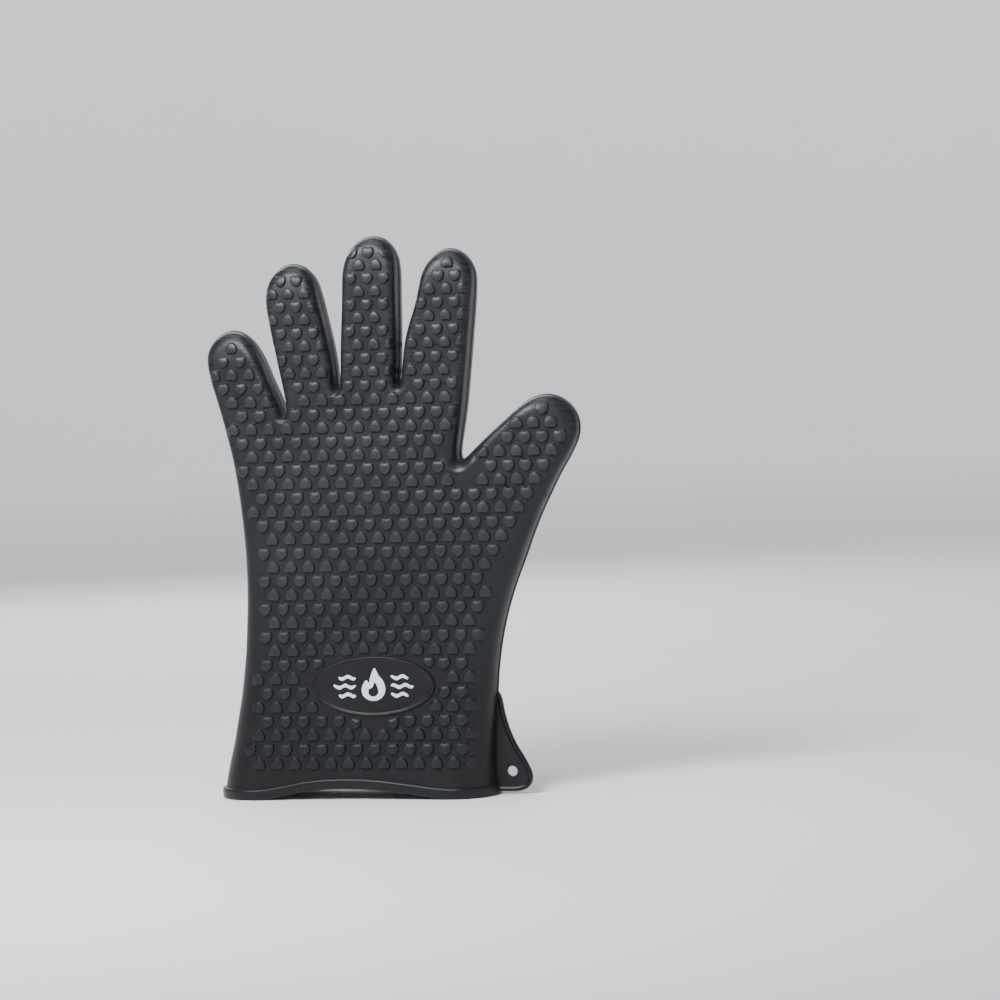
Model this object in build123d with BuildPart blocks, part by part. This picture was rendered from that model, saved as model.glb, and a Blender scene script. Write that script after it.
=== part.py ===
"""Moulded silicone heat glove, standing on its cuff rim.

+Z fingers up, -Y the badge face, +X the thumb and hang-tab side.
Origin: centre of the footprint, on the plane the rim stands on. Millimetres.

The glove is one hollow moulding, so the nodes are its stiff zones (cuff, palm,
finger segments), the flexing zones between them, and the moulded-on features.
"""
import os
from math import sin, cos, sqrt, radians
from build123d import *

os.makedirs("parts", exist_ok=True)

# ---------------------------------------------------------------- dimensions
WALL = 1.8            # silicone wall
CLR = 0.3             # each digit is drawn in this much, so neighbours stay clear

# cuff cross-sections: z, left x, right x, full depth in y
CUFF = [
    (0.0, -85.3, 47.0, 40.0),
    (30.0, -79.1, 47.7, 35.0),
    (70.0, -73.9, 50.4, 28.0),
    (80.0, -73.0, 52.4, 26.4),
    (94.0, -72.4, 56.4, 24.6),
]
Z_CUFF_TOP = 80.0     # stiff cuff ends, wrist flex zone begins
Z_PALM = 94.0         # palm begins
RIM_H = 5.0           # rim bead height
RIM_OUT = 1.3         # rim bead stands out this much
ARCH = [(-66.0, 0.0), (-47.4, 3.7), (-26.0, 5.2), (-8.0, 4.4), (9.4, 2.3), (27.0, 0.0)]

ROOT_T = 21.0         # thickness at the digit roots
TIP_T = 19.4          # digit thickness where the tip dome starts
DOME = (0.0, 0.30, 0.55, 0.75, 0.89, 0.97)

# digits: tip-circle centre x, z; lean from vertical (deg, + toward thumb side);
# tip radius; root: s, n left, n right; n left/right at the tip circle centre;
# zone limits along the digit s (0 = tip circle centre, negative = toward palm)
DIGITS = {
    "pinky": dict(c=(-76.9, 212.0), a=-19.0, r=14.0, root=(-34.0, -15.5, 15.1), w0=(-14.0, 14.0),
                  zones=(-32.0, -20.5, -14.0, -3.0)),
    "ring": dict(c=(-47.3, 243.8), a=-11.0, r=13.8, root=(-51.0, -15.2, 12.7), w0=(-13.8, 13.8),
                 zones=(-48.5, -36.0, -25.0, -11.0)),
    "middle": dict(c=(-8.2, 255.4), a=1.5, r=14.6, root=(-55.0, -15.0, 14.6), w0=(-14.6, 14.6),
                   zones=(-52.5, -39.5, -27.0, -12.0)),
    "index": dict(c=(29.1, 247.9), a=9.0, r=14.4, root=(-51.0, -16.2, 16.4), w0=(-14.4, 14.4),
                  zones=(-48.5, -36.0, -25.0, -11.0)),
    "thumb": dict(c=(76.5, 174.4), a=36.87, r=14.8, root=(-36.0, -24.6, 21.2), w0=(-16.4, 14.9),
                  zones=(-31.5, -19.5, -13.0, -1.5)),
}
CROTCH = {"ring": (-51.5, 185.2), "middle": (-25.1, 196.2), "index": (5.05, 199.8)}
RIGHT_WEB = [(34.4, 170.0), (33.2, 160.6)]
# palm cross-sections: z, left x, right x, thickness (right of the thumb root they run past it)
PALM = [
    (94.0, -72.4, 56.4, 24.6),
    (112.0, -72.8, 64.2, 24.2),
    (126.5, -73.8, 69.2, 23.8),
    (138.0, -74.9, 75.0, 23.4),
    (160.0, -77.6, 90.0, 22.2),
    (175.0, -80.7, 101.0, 21.2),
    (220.0, -93.0, 130.0, 21.2),
]

# badge on the cuff front
BADGE_C = (-10.3, 54.2)
BADGE_A, BADGE_B = 30.4, 14.1      # semi-axes
BADGE_RIDGE = 1.7                  # ridge width
PLATE_H, RIDGE_H, PRINT_H = 0.9, 1.7, 0.35

# hang tab at the thumb side of the cuff
TAB = [(49.0, 48.3), (50.9, 37.2), (54.9, 26.1), (58.9, 18.7), (61.9, 13.1), (62.9, 8.8),
       (60.9, 3.9), (56.0, 1.2)]
TAB_T, TAB_BEAD_T, TAB_BEAD_W = 2.4, 3.8, 2.2
HOLE = (53.3, 11.1)
HOLE_R = 2.5


# ------------------------------------------------------------------ helpers
def at(d, s, n):
    """Point in the XZ plane for digit coordinates s (along), n (across)."""
    a = radians(d["a"])
    return (d["c"][0] + s * sin(a) + n * cos(a), d["c"][1] + s * cos(a) - n * sin(a))


def cross(d, s):
    """Cross-section plane of a digit at s."""
    a = radians(d["a"])
    x, z = at(d, s, 0.0)
    return Plane(origin=(x, 0, z), x_dir=(cos(a), 0, -sin(a)), z_dir=(sin(a), 0, cos(a)))


def size_at(d, s, inset):
    """n left, n right and thickness of a digit at s, drawn in by inset."""
    s0, l0, r0 = d["root"]
    l1, r1 = d["w0"]
    if s <= 0:
        f = s / s0
        nl, nr, t = l1 + (l0 - l1) * f, r1 + (r0 - r1) * f, TIP_T + (ROOT_T - TIP_T) * f
        nl, nr, t = nl + CLR + inset, nr - CLR - inset, t - 2 * inset
    else:
        k = sqrt(max(0.0, 1 - (s / (d["r"] - inset)) ** 2))
        mid, half = (l1 + r1) / 2, (r1 - l1) / 2 - CLR - inset
        nl, nr, t = mid - half * k, mid + half * k, (TIP_T - 2 * inset) * (0.25 * k + 0.75 * sqrt(k))
    return nl, nr, t


def digit_sections(d, stations, inset):
    faces = []
    for s in stations:
        nl, nr, t = size_at(d, s, inset)
        with BuildSketch(cross(d, s)) as sk:
            with Locations(((nl + nr) / 2, 0)):
                RectangleRounded(nr - nl, t, min(nr - nl, t) / 2 * 0.94)
        faces.append(sk.sketch.face())
    return faces


def tube(d, s0, s1):
    """Open hollow length of a digit between s0 and s1."""
    with BuildPart() as seg:
        loft(sections=digit_sections(d, (s0, s1), 0.0), ruled=True)
        loft(sections=digit_sections(d, (s0, s1), WALL), ruled=True, mode=Mode.SUBTRACT)
    return seg


def fingertip(d, s0):
    """Closed hollow end of a digit from s0 to the tip."""
    r = d["r"]
    with BuildPart() as seg:
        loft(sections=digit_sections(d, (s0, 0.0), 0.0), ruled=True)
        loft(sections=digit_sections(d, [k * r for k in DOME], 0.0), ruled=True)
        loft(sections=digit_sections(d, (s0, 0.0), WALL), ruled=True, mode=Mode.SUBTRACT)
        loft(sections=digit_sections(d, [k * (r - WALL) for k in DOME], WALL), ruled=True, mode=Mode.SUBTRACT)
    return seg


def oval(z, xl, xr, depth, out=0.0):
    with BuildSketch(Plane.XY.offset(z)) as sk:
        with Locations(((xl + xr) / 2, 0)):
            RectangleRounded(xr - xl + 2 * out, depth + 2 * out, (depth / 2 + out) * 0.94)
    return sk.sketch.face()


def cuff_at(z):
    """Cuff section at any z by straight interpolation."""
    for a, b in zip(CUFF, CUFF[1:]):
        if z <= b[0] or b is CUFF[-1]:
            f = (z - a[0]) / (b[0] - a[0])
            return tuple([z] + [a[i] + (b[i] - a[i]) * f for i in (1, 2, 3)])


def slab(points, thick):
    """Polygon in XZ extruded both ways in Y."""
    with BuildPart() as s:
        with BuildSketch(Plane.XZ):
            with BuildLine():
                Polyline(*points, close=True)
            make_face()
        extrude(amount=thick / 2, both=True)
    return s


def arch_line(dz):
    pts = [(x, z + dz) for x, z in ARCH]
    Line((-120, dz), pts[0])
    Spline(*pts, tangents=[(1, 0), (1, 0)])
    Line(pts[-1], (120, dz))


def above_arch(dz):
    """Everything above the arched hem line lifted by dz."""
    with BuildPart() as s:
        with BuildSketch(Plane.XZ):
            with BuildLine():
                arch_line(dz)
                Polyline((120, dz), (120, 130), (-120, 130), (-120, dz))
            make_face()
        extrude(amount=80, both=True)
    return s


# --------------------------------------------------------------- cuff solids
with BuildPart() as cuff_outer:
    loft(sections=[oval(*sec) for sec in CUFF[:-1]], ruled=True)

with BuildPart() as cuff_inner:
    loft(sections=[oval(*sec, -WALL) for sec in [cuff_at(-2.0)] + CUFF[1:-1]], ruled=True)
    with BuildSketch(Plane.XY.offset(Z_CUFF_TOP)):
        z, xl, xr, dp = cuff_at(Z_CUFF_TOP)
        with Locations(((xl + xr) / 2, 0)):
            RectangleRounded(xr - xl - 2 * WALL, dp - 2 * WALL, (dp / 2 - WALL) * 0.94)
    extrude(amount=2)

with BuildPart() as cuff_shell:
    add(cuff_outer.part)
    add(cuff_inner.part, mode=Mode.SUBTRACT)
    add(above_arch(RIM_H).part, mode=Mode.INTERSECT)

with BuildPart() as rim_outer:
    loft(sections=[oval(*cuff_at(z), RIM_OUT) for z in (-1.0, 14.0)], ruled=True)

with BuildPart() as rim_bead:
    add(rim_outer.part)
    add(cuff_inner.part, mode=Mode.SUBTRACT)
    add(above_arch(0.0).part, mode=Mode.INTERSECT)
    add(above_arch(RIM_H).part, mode=Mode.SUBTRACT)

with BuildPart() as wrist_flex:
    loft(sections=[oval(*sec) for sec in CUFF[-2:]], ruled=True)
    loft(sections=[oval(*sec, -WALL) for sec in CUFF[-2:]], ruled=True, mode=Mode.SUBTRACT)

# ----------------------------------------------------------------- hang tab
tab_rim = cuff_at(0.0)
with BuildPart() as tab_full:
    with BuildSketch(Plane.XZ):
        with BuildLine():
            Spline(*TAB)
            Polyline(TAB[-1], (40.0, TAB[-1][1]), (40.0, TAB[0][1]), TAB[0])
        make_face()
    extrude(amount=TAB_BEAD_T / 2, both=True)

with BuildPart() as tab_core:
    with BuildSketch(Plane.XZ):
        with BuildLine():
            inner = [(x - TAB_BEAD_W * kx, z - TAB_BEAD_W * kz) for (x, z), (kx, kz) in zip(
                TAB, [(1.0, 1.6), (0.96, 0.3), (0.9, 0.4), (0.87, 0.5), (0.92, 0.3), (1.0, -0.05),
                      (0.7, -0.7), (0.0, -1.0)])]
            Spline(*inner)
            Polyline(inner[-1], (30.0, inner[-1][1]), (30.0, inner[0][1]), inner[0])
        make_face()
    extrude(amount=10, both=True)

with BuildPart() as hang_tab_bead:
    add(tab_full.part)
    add(tab_core.part, mode=Mode.SUBTRACT)
    add(cuff_outer.part, mode=Mode.SUBTRACT)
    add(rim_outer.part, mode=Mode.SUBTRACT)

with BuildPart() as hang_tab_web:
    add(tab_full.part)
    add(tab_core.part, mode=Mode.INTERSECT)
    with BuildSketch(Plane.XZ):
        Rectangle(300, 300)
    extrude(amount=TAB_T / 2, both=True, mode=Mode.INTERSECT)
    add(cuff_outer.part, mode=Mode.SUBTRACT)
    add(rim_outer.part, mode=Mode.SUBTRACT)
    with BuildSketch(Plane.XZ):
        with Locations(HOLE):
            Circle(HOLE_R)
    extrude(amount=10, both=True, mode=Mode.SUBTRACT)

# -------------------------------------------------------------------- badge
# the cuff front between z 30 and 70 is one tilted flat, the badge sits on it
za, zb = CUFF[1][0], CUFF[2][0]
ya, yb = -CUFF[1][3] / 2, -CUFF[2][3] / 2
up = Vector(0, yb - ya, zb - za).normalized()
yc = ya + (yb - ya) * (BADGE_C[1] - za) / (zb - za)
face = Plane(origin=(BADGE_C[0], yc, BADGE_C[1]), x_dir=(1, 0, 0), z_dir=Vector(1, 0, 0).cross(up))

with BuildPart() as badge_plate:
    with BuildSketch(face):
        Ellipse(BADGE_A - BADGE_RIDGE, BADGE_B - BADGE_RIDGE)
    extrude(amount=PLATE_H)

with BuildPart() as badge_ridge:
    with BuildSketch(face):
        Ellipse(BADGE_A, BADGE_B)
        Ellipse(BADGE_A - BADGE_RIDGE, BADGE_B - BADGE_RIDGE, mode=Mode.SUBTRACT)
    extrude(amount=RIDGE_H)

top = face.offset(PLATE_H)
with BuildPart() as print_flame:
    with BuildSketch(top):
        with BuildLine():
            Spline((0.0, 8.6), (4.6, 3.4), (5.4, -2.4), (0.0, -6.4), (-5.4, -2.4), (-3.8, 1.4), (-2.6, 4.0), (0.0, 8.6),
                   tangents=[(0.9, -1.0), (0.6, 1.2)])
        make_face()
    extrude(amount=PRINT_H)

with BuildPart() as print_bars:
    with BuildSketch(top):
        for sx in (-1, 1):
            for k, (z, w) in enumerate([(4.2, 8.0), (0.2, 10.5), (-3.8, 8.0)]):
                with Locations((sx * (8.6 + w / 2), z)):
                    SlotOverall(w, 1.5)
    extrude(amount=PRINT_H)

# --------------------------------------------------------------------- palm
def root_points(name, more_left=0.0, more_right=0.0):
    """Ends of the plane where a digit leaves the palm."""
    d = DIGITS[name]
    s = d["zones"][0]
    nl, nr, _ = size_at(d, s, -CLR)
    return [at(d, s, nl - more_left), at(d, s, nr + more_right)]


outline = [(-115.0, Z_PALM)] + root_points("pinky", 35.0)
for name in ("ring", "middle", "index"):
    outline += [CROTCH[name]] + root_points(name)
outline += RIGHT_WEB + root_points("thumb", 0.0, 35.0) + [(125.0, Z_PALM)]

with BuildPart() as palm_outer:
    loft(sections=[oval(*sec) for sec in PALM], ruled=True)
    add(slab(outline, 60).part, mode=Mode.INTERSECT)

with BuildPart() as palm_block:
    with BuildSketch(Plane.XZ):
        with BuildLine():
            Polyline(*outline, close=True)
        make_face()
        offset(amount=-WALL, kind=Kind.INTERSECTION, mode=Mode.REPLACE)
    extrude(amount=30, both=True)

with BuildPart() as palm_inner:
    loft(sections=[oval(*sec, -WALL) for sec in PALM], ruled=True)
    add(palm_block.part, mode=Mode.INTERSECT)
    # mouth toward the wrist
    with BuildSketch(Plane.XY.offset(Z_PALM - 4)):
        with Locations(((CUFF[-1][1] + CUFF[-1][2]) / 2, 0)):
            RectangleRounded(CUFF[-1][2] - CUFF[-1][1] - 2 * WALL, CUFF[-1][3] - 2 * WALL, (CUFF[-1][3] / 2 - WALL) * 0.94)
    extrude(amount=10)
    # mouths toward the digits
    for dd in DIGITS.values():
        s = dd["zones"][0]
        nl, nr, t = size_at(dd, s, WALL)
        with BuildSketch(cross(dd, s - 6)):
            with Locations(((nl + nr) / 2, 0)):
                RectangleRounded(nr - nl, t, t / 2 * 0.94)
        extrude(amount=10)

with BuildPart() as palm_shell:
    add(palm_outer.part)
    add(palm_inner.part, mode=Mode.SUBTRACT)

# ------------------------------------------------------------------- export
shapes = {
    "cuff_shell": cuff_shell, "rim_bead": rim_bead, "wrist_flex": wrist_flex,
    "hang_tab_web": hang_tab_web, "hang_tab_bead": hang_tab_bead,
    "badge_plate": badge_plate, "badge_ridge": badge_ridge,
    "print_flame": print_flame, "print_bars": print_bars,
    "palm_shell": palm_shell,
}
for name, d in DIGITS.items():
    z0, z1, z2, z3 = d["zones"]
    shapes[name + "_knuckle_flex"] = tube(d, z0, z1)
    shapes[name + "_lower"] = tube(d, z1, z2)
    shapes[name + "_mid_flex"] = tube(d, z2, z3)
    shapes[name + "_tip"] = fingertip(d, z3)

for name, shape in shapes.items():
    shape.part.label = name
    export_step(shape.part, "parts/" + name + ".step")
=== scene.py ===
import math

import bpy
import numpy as np
from mathutils import Matrix, Vector
from mathutils.geometry import delaunay_2d_cdt


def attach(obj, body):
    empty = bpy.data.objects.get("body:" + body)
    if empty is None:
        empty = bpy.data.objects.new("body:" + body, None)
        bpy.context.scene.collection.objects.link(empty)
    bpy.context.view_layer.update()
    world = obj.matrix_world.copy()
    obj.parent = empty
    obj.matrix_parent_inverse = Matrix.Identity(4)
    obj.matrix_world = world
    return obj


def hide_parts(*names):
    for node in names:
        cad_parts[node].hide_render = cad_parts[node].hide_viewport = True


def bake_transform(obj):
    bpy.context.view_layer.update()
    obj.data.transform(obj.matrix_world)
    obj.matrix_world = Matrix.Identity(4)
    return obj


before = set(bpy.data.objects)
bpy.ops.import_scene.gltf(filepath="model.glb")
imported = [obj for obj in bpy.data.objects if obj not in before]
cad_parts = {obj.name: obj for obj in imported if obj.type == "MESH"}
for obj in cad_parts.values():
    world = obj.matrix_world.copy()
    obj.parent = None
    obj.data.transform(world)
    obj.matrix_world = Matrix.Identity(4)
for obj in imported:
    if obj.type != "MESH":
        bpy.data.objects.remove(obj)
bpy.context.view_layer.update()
MM = 0.001

# All construction below is in millimetres in the row frame: x across, z up, y depth.
# ------------------------------------------------------------------ outline
# Half-way line of the mould, clockwise from the cuff's pinky side to its thumb side.
SIDE_PINKY = [(-92.6, -30.0), (-91.6, -12.0), (-90.3, 2.0), (-88.6, 11.3), (-86.8, 19.1), (-84.7, 27.0), (-83.1, 34.9), (-81.5, 42.7),
              (-80.0, 50.6), (-78.8, 58.4), (-77.2, 70.2), (-76.2, 82.0), (-75.4, 93.7), (-75.0, 105.5), (-75.0, 117.3),
              (-75.6, 129.0), (-76.5, 140.8), (-77.7, 152.6), (-79.4, 164.4), (-81.9, 176.2), (-84.7, 188.1)]
PINKY = [(-86.9, 196.0), (-89.2, 203.9), (-90.8, 211.6), (-90.9, 215.6), (-89.6, 219.6), (-86.6, 223.2), (-82.2, 226.1),
         (-77.6, 226.9), (-73.0, 225.5), (-69.0, 222.4), (-66.1, 217.8), (-62.5, 210.0), (-59.6, 202.1), (-56.1, 194.2),
         (-54.5, 189.8)]
CROTCH_1 = [(-53.8, 187.0), (-52.7, 185.0), (-51.6, 187.0)]
RING = [(-51.5, 190.9), (-52.8, 198.9), (-54.8, 209.5), (-56.5, 218.3), (-58.6, 230.5), (-59.9, 239.7), (-60.0, 243.9),
        (-59.0, 248.7), (-56.8, 252.9), (-52.3, 256.6), (-46.5, 258.2), (-40.6, 256.2), (-36.6, 251.9), (-34.9, 247.8),
        (-33.9, 243.0), (-31.6, 232.4), (-29.9, 224.6), (-28.5, 216.9), (-27.4, 209.1), (-26.8, 201.8)]
CROTCH_2 = [(-26.5, 198.6), (-25.3, 196.6), (-24.1, 198.6)]
MIDDLE = [(-23.9, 201.8), (-23.4, 213.1), (-22.7, 224.7), (-21.9, 236.3), (-21.4, 246.0), (-21.0, 254.3), (-20.0, 259.0),
          (-18.2, 263.0), (-15.1, 266.6), (-10.9, 269.1), (-5.8, 270.0), (-1.0, 268.8), (2.5, 265.6), (4.7, 261.6),
          (5.5, 257.6), (5.6, 252.5), (5.3, 239.1), (5.0, 224.7), (4.6, 212.2), (4.0, 203.0)]
CROTCH_3 = [(4.0, 199.9), (5.2, 197.9), (6.4, 199.9)]
INDEX = [(6.6, 202.7), (7.4, 210.1), (8.7, 218.7), (11.0, 227.2), (13.8, 234.8), (16.0, 242.5), (17.4, 249.5), (18.9, 254.0),
         (21.6, 257.8), (25.9, 261.3), (31.5, 263.0), (37.2, 261.0), (41.2, 257.0), (43.1, 252.6), (43.4, 248.0),
         (42.9, 241.7), (42.0, 233.2), (40.1, 216.5), (37.8, 197.4), (36.2, 185.4), (34.4, 175.0), (32.9, 166.3)]
CROTCH_4 = [(33.0, 163.0), (34.0, 161.4), (36.2, 162.4)]
THUMB = [(41.2, 167.1), (47.6, 173.0), (57.3, 181.2), (63.8, 186.7), (68.2, 189.5), (73.1, 191.4), (77.7, 191.7),
         (82.6, 190.4), (87.0, 187.4), (90.5, 182.9), (91.9, 178.0), (91.7, 173.0), (90.0, 168.2), (86.2, 161.3),
         (82.1, 154.7), (77.6, 146.2), (73.5, 138.3), (69.6, 129.9)]
SIDE_THUMB = [(66.8, 123.2), (63.9, 115.6), (59.2, 104.2), (53.9, 89.0), (50.3, 74.2), (48.3, 61.9), (47.2, 50.2),
              (46.3, 35.7), (45.8, 21.2), (45.3, 4.3), (45.2, -12.0), (45.2, -30.0)]
TIGHT = CROTCH_1 + CROTCH_2 + CROTCH_3 + CROTCH_4

# digits: tip-circle centre, lean from vertical in degrees, radius, and where the skin is cut into
# pieces along the digit: flex start and end, cut through the lower stiff zone, second flex start and end
DIGITS = {
    "pinky": dict(c=(-76.9, 212.0), a=-19.0, r=14.0, z=(-32.0, -20.5, -14.0, -3.0)),
    "ring": dict(c=(-47.3, 243.8), a=-11.0, r=13.8, z=(-48.5, -36.0, -25.0, -11.0)),
    "middle": dict(c=(-8.2, 255.4), a=1.5, r=14.6, z=(-52.5, -39.5, -27.0, -12.0)),
    "index": dict(c=(29.1, 247.9), a=9.0, r=14.4, z=(-48.5, -36.0, -25.0, -11.0)),
    "thumb": dict(c=(76.5, 174.4), a=36.87, r=14.8, z=(-31.5, -19.5, -13.0, -1.5)),
}
WALL = 1.8
FIN_OUT, FIN_T = 0.55, 0.45
BADGE_C, BADGE_A, BADGE_B = (-10.3, 54.4), 30.6, 14.3
ARCH = [(-200.0, 0.0), (-72.0, 0.0), (-66.0, 0.15), (-57.0, 1.7), (-47.0, 3.7), (-36.0, 4.9), (-26.0, 5.2), (-16.0, 4.95),
        (-8.0, 4.3), (2.0, 3.1), (12.0, 1.7), (20.0, 0.6), (27.0, 0.1), (32.0, 0.0), (200.0, 0.0)]


def smoothstep(x, a, b):
    t = np.clip((x - a) / (b - a), 0, 1)
    return t * t * (3 - 2 * t)


def spline(points, step):
    """Centripetal Catmull-Rom through points, sampled about every step."""
    p = np.array(points, float)
    p = np.vstack([2 * p[0] - p[1], p, 2 * p[-1] - p[-2]])
    out = []
    for i in range(1, len(p) - 2):
        p0, p1, p2, p3 = p[i - 1], p[i], p[i + 1], p[i + 2]
        t0 = 0.0
        t1 = t0 + np.linalg.norm(p1 - p0) ** 0.5
        t2 = t1 + np.linalg.norm(p2 - p1) ** 0.5
        t3 = t2 + np.linalg.norm(p3 - p2) ** 0.5
        k = max(2, int(np.linalg.norm(p2 - p1) / step))
        t = np.linspace(t1, t2, k, endpoint=False)[:, None]
        a1 = (t1 - t) / (t1 - t0) * p0 + (t - t0) / (t1 - t0) * p1
        a2 = (t2 - t) / (t2 - t1) * p1 + (t - t1) / (t2 - t1) * p2
        a3 = (t3 - t) / (t3 - t2) * p2 + (t - t2) / (t3 - t2) * p3
        b1 = (t2 - t) / (t2 - t0) * a1 + (t - t0) / (t2 - t0) * a2
        b2 = (t3 - t) / (t3 - t1) * a2 + (t - t1) / (t3 - t1) * a3
        out.append((t2 - t) / (t2 - t1) * b1 + (t - t1) / (t2 - t1) * b2)
    out.append(p[-2][None, :])
    return np.vstack(out)


def resample(p, spacing):
    """Evenly spread along p by a spacing that may vary from point to point."""
    seg = np.linalg.norm(np.diff(p, axis=0), axis=1)
    w = seg / (0.5 * (spacing[1:] + spacing[:-1]))
    u = np.concatenate([[0], np.cumsum(w)])
    n = int(round(u[-1]))
    t = np.linspace(0, u[-1], n + 1)
    return np.stack([np.interp(t, u, p[:, k]) for k in range(p.shape[1])], 1)


def tangents(p, closed=False):
    if closed:
        t = np.roll(p, -1, 0) - np.roll(p, 1, 0)
    else:
        t = np.gradient(p, axis=0)
    return t / np.linalg.norm(t, axis=1)[:, None]


def make_outline():
    pts = (SIDE_PINKY + PINKY + CROTCH_1 + RING + CROTCH_2 + MIDDLE + CROTCH_3 + INDEX + CROTCH_4 + THUMB + SIDE_THUMB)
    p = spline(pts, 0.25)
    p = resample(p, np.full(len(p), 0.4))
    tight = np.array(TIGHT)
    near = np.sqrt(((p[:, None, :] - tight[None]) ** 2).sum(2)).min(1)
    lam = 0.5 * smoothstep(near, 1.5, 7.0)
    lam[:4] = lam[-4:] = 0
    for _ in range(60):
        q = p.copy()
        q[1:-1] += lam[1:-1, None] * (0.5 * (p[:-2] + p[2:]) - p[1:-1])
        p = q
    t = tangents(p)
    turn = np.abs(np.gradient(np.unwrap(np.arctan2(t[:, 1], t[:, 0])))) / 0.4
    for _ in range(12):
        turn[1:-1] = 0.25 * turn[:-2] + 0.5 * turn[1:-1] + 0.25 * turn[2:]
    return resample(p, np.clip(0.16 / np.maximum(turn, 1e-4), 0.42, 1.5))


OUT = make_outline()
OUT_T = tangents(OUT)
OUT_N = np.stack([OUT_T[:, 1], -OUT_T[:, 0]], 1)  # toward the inside


def edge_distance(x, z):
    """Signed distance inside the outline and its gradient."""
    pts = np.stack([x, z], 1)
    d = np.empty(len(pts))
    g = np.empty((len(pts), 2))
    a, b = OUT[:-1], OUT[1:]
    ab = b - a
    l2 = (ab**2).sum(1)
    for i in range(0, len(pts), 1500):
        q = pts[i : i + 1500]
        ap = q[:, None, :] - a[None]
        t = np.clip((ap * ab[None]).sum(2) / l2[None], 0, 1)
        c = ap - t[:, :, None] * ab[None]
        dd = (c**2).sum(2)
        k = dd.argmin(1)
        r = np.arange(len(q))
        ck = c[r, k]
        tk = t[r, k][:, None]
        n = OUT_N[k] * (1 - tk) + OUT_N[k + 1] * tk
        sign = np.where((ck * n).sum(1) >= 0, 1.0, -1.0)
        dist = np.sqrt(dd[r, k])
        d[i : i + 1500] = sign * dist
        u = np.where(dist[:, None] > 1e-4, ck / np.maximum(dist, 1e-9)[:, None] * sign[:, None], n)
        g[i : i + 1500] = u
    return d, g


def digit_sn(name, x, z):
    d = DIGITS[name]
    a = math.radians(d["a"])
    dx, dz = x - d["c"][0], z - d["c"][1]
    return dx * math.sin(a) + dz * math.cos(a), dx * math.cos(a) - dz * math.sin(a)


def digit_at(name, s, n):
    d = DIGITS[name]
    a = math.radians(d["a"])
    return (d["c"][0] + s * math.sin(a) + n * math.cos(a), d["c"][1] + s * math.cos(a) - n * math.sin(a))


# ------------------------------------------------------------- base surface
HALF_T = ([-30, 0, 15, 30, 50, 70, 94, 120, 150, 180, 200, 230, 260, 280],
          [22.8, 20.0, 18.6, 17.3, 15.6, 14.2, 12.9, 12.2, 11.6, 10.8, 10.3, 10.0, 9.8, 9.8])
EDGE_R = ([-30, 0, 30, 60, 94, 130, 165, 195, 280], [20, 18.5, 16.5, 13.5, 10.8, 9.0, 7.4, 6.0, 5.8])
EDGE_P = ([0, 60, 100, 150, 190, 280], [2.1, 2.25, 2.6, 3.1, 4.0, 4.2])


def soft_interp(z, table, blur=6.0):
    """A piecewise table read with its corners rounded."""
    v = 0
    for off, w in ((-1.0, 0.15), (-0.5, 0.22), (0.0, 0.26), (0.5, 0.22), (1.0, 0.15)):
        v = v + w * np.interp(z + off * blur, table[0], table[1])
    return v


def base_height(x, z, d, inset=0.0):
    """Half-thickness of the plain skin at distance d inside the outline."""
    t = soft_interp(z, HALF_T)
    t = t * (1 - 0.07 * smoothstep(x, 42, 66) * smoothstep(z, 118, 140))
    tip = np.zeros(len(x))
    for name, g in DIGITS.items():
        s, n = digit_sn(name, x, z)
        k = np.clip((s + 7.0) / (g["r"] + 7.0), 0, 1.2) * (np.abs(n) < g["r"] + 8)
        tip = np.maximum(tip, k)
        # slight waist behind each bending zone
        for za, zb in ((g["z"][0], g["z"][1]), (g["z"][2], g["z"][3])):
            m = 0.5 * (za + zb)
            t = t - 0.16 * np.exp(-(((s - m) / 4.0) ** 2)) * (np.abs(n) < g["r"] + 3)
    t = t * (1 - 0.26 * tip**2.2)
    # the skin bunches up in a soft roll under the thumb crotch and sinks a little behind it
    fx, fz = x - 34.6, z - 162.0
    rr = np.hypot(fx, fz)
    low = smoothstep(-fz / np.maximum(rr, 1e-3), -0.45, 0.35)
    roll = 0.6 * np.exp(-(((rr - 6.6) / 2.7) ** 2)) * low
    along, across = fx * 0.50 - fz * 0.87, fx * 0.87 + fz * 0.50
    roll = roll - 0.50 * np.exp(-((across / 4.6) ** 2)) * smoothstep(along, 6, 14) * (1 - smoothstep(along, 26, 58))
    r = soft_interp(z, EDGE_R) * (1 + 0.55 * tip)
    p = soft_interp(z, EDGE_P)
    p = p - (p - 2.5) * np.clip(tip, 0, 1) * 0.8
    q = np.clip((d - inset) / (r - 0.6 * inset), 0, 1)
    s = np.maximum(1 - (1 - q) ** p, 0) ** (1 / p)
    swell = 0.35 * np.sin(x * 0.045 + 0.8) * np.sin(z * 0.038 + 1.9) + 0.22 * np.sin(x * 0.11 + z * 0.07) * np.sin(z * 0.083 - 1.0)
    h = (t - inset) * s + (swell + 0.9 * smoothstep(d, 8, 34) * smoothstep(z, 60, 130)) * smoothstep(d, 2, 14)
    h = h + roll * smoothstep(d, 1.2, 4.0)
    return h


def fin_height(d):
    return np.interp(d, [-FIN_OUT, -FIN_OUT + 0.1, -0.05, 0.0], [FIN_T - 0.17, FIN_T, FIN_T, FIN_T + 0.1])


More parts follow.
